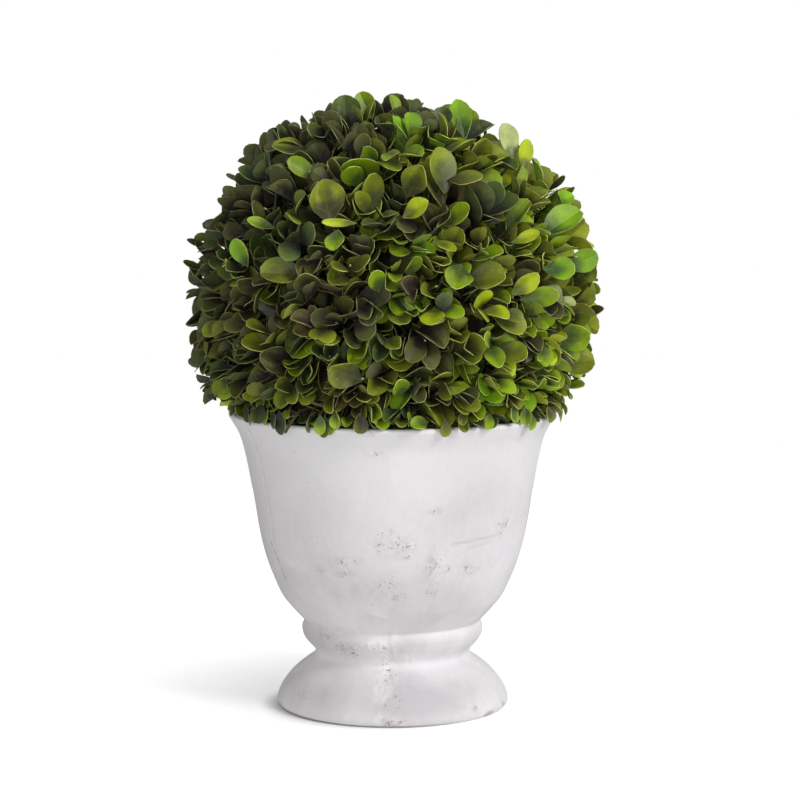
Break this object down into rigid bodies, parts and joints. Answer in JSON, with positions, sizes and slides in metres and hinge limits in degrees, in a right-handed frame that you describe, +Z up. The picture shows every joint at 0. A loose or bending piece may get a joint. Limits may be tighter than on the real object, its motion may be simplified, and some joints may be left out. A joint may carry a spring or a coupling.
{
  "type": "potted boxwood",
  "caption": "Clipped ball of boxwood foliage on a short stem, set in a footed urn of cast cement that stands on its flat underside.",
  "frame": {"origin": "centre of the urn's flat underside", "axes": "+Z up along the urn's axis and the stem; the picture looks along +Y, with +X to its right"},
  "size_m": [0.2036, 0.201, 0.3065],
  "materials": {
    "urn": "matt whitewashed cement",
    "pot_filling": "dry fibrous peat",
    "stem": "rough bark",
    "foliage_ball": "satin leaves"
  },
  "bodies": {
    "root": {"urn": "urn", "pot_filling": "pot_filling", "stem": "stem", "foliage_ball": "foliage_ball"}
  },
  "joints": []
}
